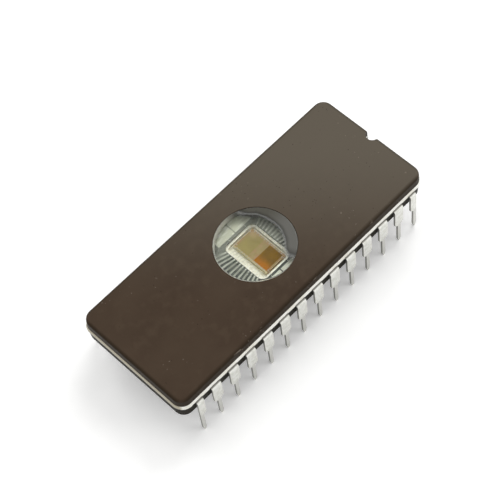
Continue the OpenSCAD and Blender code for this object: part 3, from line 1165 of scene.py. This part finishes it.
@dataclass
class MemoryDie:
    """The die with its paste, its two fields of cells, its pads and the bond wires."""

    x: float = 0.24
    y: float = -0.24
    half_l: float = 1.475
    half_w: float = 2.45
    top: float = 6.03
    field_half_l: float = 1.25
    field_far: float = 2.22
    olive_near: float = 0.5
    amber_near: float = 0.35
    amber_corner: float = 1.554
    film: float = 0.008
    sunk: float = 0.002
    pad: float = 0.1
    pad_film: float = 0.004
    pad_in: float = 0.14
    pad_pitch: float = 0.36
    fan_pads: int = 6
    end_pad_in: float = 0.42
    wire_groups: tuple[str, ...] = (
        "bond_wires_1_to_7",
        "bond_wires_8_to_14",
        "bond_wires_15_to_21",
        "bond_wires_22_to_28",
    )
    paste: PatchyMetal = PatchyMetal(
        name="attach_paste",
        bright=tone(255, 252, 240),
        dull=tone(232, 226, 206),
        patches=Pattern(size=0.25, detail=4.0, start=0.4, end=0.7),
        relief=Relief(size=0.16, detail=3.0, depth=0.02),
        gloss=Sway(size=0.2, detail=2.0, low=0.35, high=0.6),
        metal=0.7,
    )
    wire_metal: PatchyMetal = PatchyMetal(
        name="wire_metal",
        bright=tone(232, 232, 226),
        dull=tone(190, 190, 184),
        patches=Pattern(size=0.1, detail=3.0, start=0.4, end=0.65),
        relief=Relief(size=0.02, detail=1.0, depth=0.001),
        gloss=Sway(size=0.08, detail=2.0, low=0.22, high=0.4),
        metal=1.0,
    )
    silicon: DieSilicon = DieSilicon(
        name="silicon", tan=tone(186, 166, 112), pink=tone(196, 160, 118), pale=tone(232, 218, 174)
    )
    olive_film: ArrayFilm = field(init=False)
    amber_film: ArrayFilm = field(init=False)

    def __post_init__(self) -> None:
        """Sets the films of the two fields from the sizes."""
        self.olive_film = ArrayFilm(
            name="array_film_olive",
            ground=tone(184, 166, 104),
            shade=tone(174, 157, 98),
            corner=tone(206, 178, 136),
            corner_x=self.x + self.field_half_l,
            corner_y=self.y + self.field_far,
            corner_reach=1.2,
            corner_lean=0.8,
        )
        self.amber_film = ArrayFilm(
            name="array_film_amber",
            ground=tone(148, 108, 6),
            shade=tone(136, 99, 6),
            corner=tone(208, 126, 12),
            corner_x=self.x - self.field_half_l,
            corner_y=self.y - self.amber_corner,
            corner_reach=1.25,
            corner_lean=0.4,
        )

    def cell_field(self, name: str, start: float, end: float, film: ArrayFilm) -> None:
        """Lays one field of cells on the die.

        Args:
            name: Name of the piece.
            start: Its lower limit along Y, from the die's middle.
            end: Its upper limit along Y, from the die's middle.
            film: Its finish.
        """
        draft = MeshDraft()
        centre = (self.x, self.y + (start + end) / 2)
        size = (2 * self.field_half_l, end - start)
        draft.plate(centre, size, self.top - self.sunk, self.top + self.film, self.film / 2)
        draft.piece(name, film.build())

    def pad_places(self) -> list[tuple[float, float]]:
        """Centres of the 28 bond pads, under the feet of the wires."""
        places: list[tuple[float, float]] = []
        for side_x in (-1, 1):
            fan_x = self.x + side_x * (self.half_l - self.pad_in)
            end_x = self.x + side_x * (self.half_l - self.end_pad_in)
            for side_y in (-1, 1):
                places.append((end_x, self.y + side_y * (self.half_w - self.pad_in)))
                for rank in range(self.fan_pads):
                    places.append((fan_x, self.y + side_y * (rank + 0.5) * self.pad_pitch))
        return places

    def pads(self, metal: Material) -> None:
        """Lays the bond pads on the die."""
        draft = MeshDraft()
        low = self.top - self.sunk
        high = self.top + self.pad_film
        for place in self.pad_places():
            draft.plate(place, (self.pad, self.pad), low, high, self.pad_film / 2)
        draft.piece("bond_pads", metal)

    def build(self, nodes: Nodes) -> None:
        """Dresses the die and its wires and lays the surface of the die."""
        metal = self.wire_metal.build()
        dress(nodes, ["die_attach"], self.paste.build())
        dress(nodes, ["die"], self.silicon.build())
        dress(nodes, self.wire_groups, metal)
        self.cell_field("cell_field_olive", self.olive_near, self.field_far, self.olive_film)
        self.cell_field("cell_field_amber", -self.field_far, -self.amber_near, self.amber_film)
        self.pads(metal)


@dataclass(frozen=True)
class SoftLamp:
    """A broad round lamp that looks at the frame's origin, in metres and watts."""

    name: str
    towards: Triple
    distance: float
    size: float
    power: float

    def hang(self) -> None:
        """Hangs the lamp."""
        lamp = bpy.data.lights.new(self.name, "AREA")
        lamp.shape = "DISK"
        lamp.size = self.size
        lamp.energy = self.power
        made = bpy.data.objects.new(self.name, lamp)
        away = Vector(self.towards).normalized()
        made.location = away * self.distance
        made.rotation_euler = away.to_track_quat("Z", "Y").to_euler()
        bpy.context.scene.collection.objects.link(made)


@dataclass(frozen=True)
class Studio:
    """Floor, light and camera."""

    floor_half: float = 1500.0
    paper: StudioPaper = StudioPaper(
        name="studio_paper", paper=tone(252, 252, 251), fibre=tone(249, 249, 248), veil=0.22
    )
    ambient: float = 0.62
    lamps: tuple[SoftLamp, ...] = (
        SoftLamp(name="key", towards=(0.7, 0.24, 0.8), distance=0.62, size=0.34, power=1.2),
        SoftLamp(name="back", towards=(0.06, 0.76, 0.72), distance=0.62, size=0.3, power=0.75),
        SoftLamp(name="side", towards=(0.58, -0.68, 0.66), distance=0.62, size=0.34, power=0.5),
    )
    azimuth: float = -39.758
    elevation: float = 60.592
    roll: float = -7.228
    distance: float = 176.438
    slide: float = 1.045
    rise: float = -3.223
    focal_px: float = 1609.87
    frame_px: int = 500
    sensor: float = 36.0
    nearest: float = 0.01
    farthest: float = 20.0

    def floor(self) -> None:
        """Lays the floor on which the leads stand."""
        draft = MeshDraft()
        draft.faces.append(tuple(draft.ring((0.0, 0.0), self.floor_half, self.floor_half, 0.0)))
        draft.shape("floor", self.paper.build())

    def world(self) -> None:
        """Even light from all round, which the camera, metal and glass see as plain white."""
        world = bpy.data.worlds.new("studio")
        world.use_nodes = True
        tree = world.node_tree
        background = tree.nodes["Background"]
        background.inputs["Color"].default_value = opaque(WHITE)
        level = tree.nodes.new("ShaderNodeMapRange")
        tree.links.new(background_rays(tree), level.inputs["Value"])
        level.inputs["To Min"].default_value = self.ambient
        tree.links.new(level.outputs["Result"], background.inputs["Strength"])
        bpy.context.scene.world = world

    def camera(self) -> None:
        """Stands the camera where the photograph was taken from."""
        azimuth = math.radians(self.azimuth)
        elevation = math.radians(self.elevation)
        roll = math.radians(self.roll)
        back = Vector(
            (
                math.sin(azimuth) * math.cos(elevation),
                -math.cos(azimuth) * math.cos(elevation),
                math.sin(elevation),
            )
        )
        level = Vector((math.cos(azimuth), math.sin(azimuth), 0.0))
        upright = back.cross(level)
        right = level * math.cos(roll) + upright * math.sin(roll)
        up = upright * math.cos(roll) - level * math.sin(roll)
        place = (back * self.distance - right * self.slide - up * self.rise) * MM
        lens = bpy.data.cameras.new("photo_camera")
        lens.sensor_width = self.sensor
        lens.lens = self.focal_px / self.frame_px * self.sensor
        lens.clip_start = self.nearest
        lens.clip_end = self.farthest
        made = bpy.data.objects.new("photo_camera", lens)
        turn = Matrix((right, up, back)).transposed().to_4x4()
        made.matrix_world = Matrix.Translation(place) @ turn
        bpy.context.scene.collection.objects.link(made)
        bpy.context.scene.camera = made

    def build(self) -> None:
        """Sets the stage."""
        self.floor()
        self.world()
        for lamp in self.lamps:
            lamp.hang()
        self.camera()
        bpy.context.scene.view_settings.view_transform = "Standard"


def main() -> None:
    """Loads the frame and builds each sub-assembly in order."""
    logging.basicConfig(level=logging.INFO, format="%(name)s: %(message)s")
    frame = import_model()
    nodes = frame["nodes"]
    Studio().build()
    for assembly in (CeramicBody(), GlassParts(), LeadFrame(), MemoryDie()):
        assembly.build(nodes)
        LOG.info("%s is dressed", type(assembly).__name__)


if __name__ == "__main__":
    main()
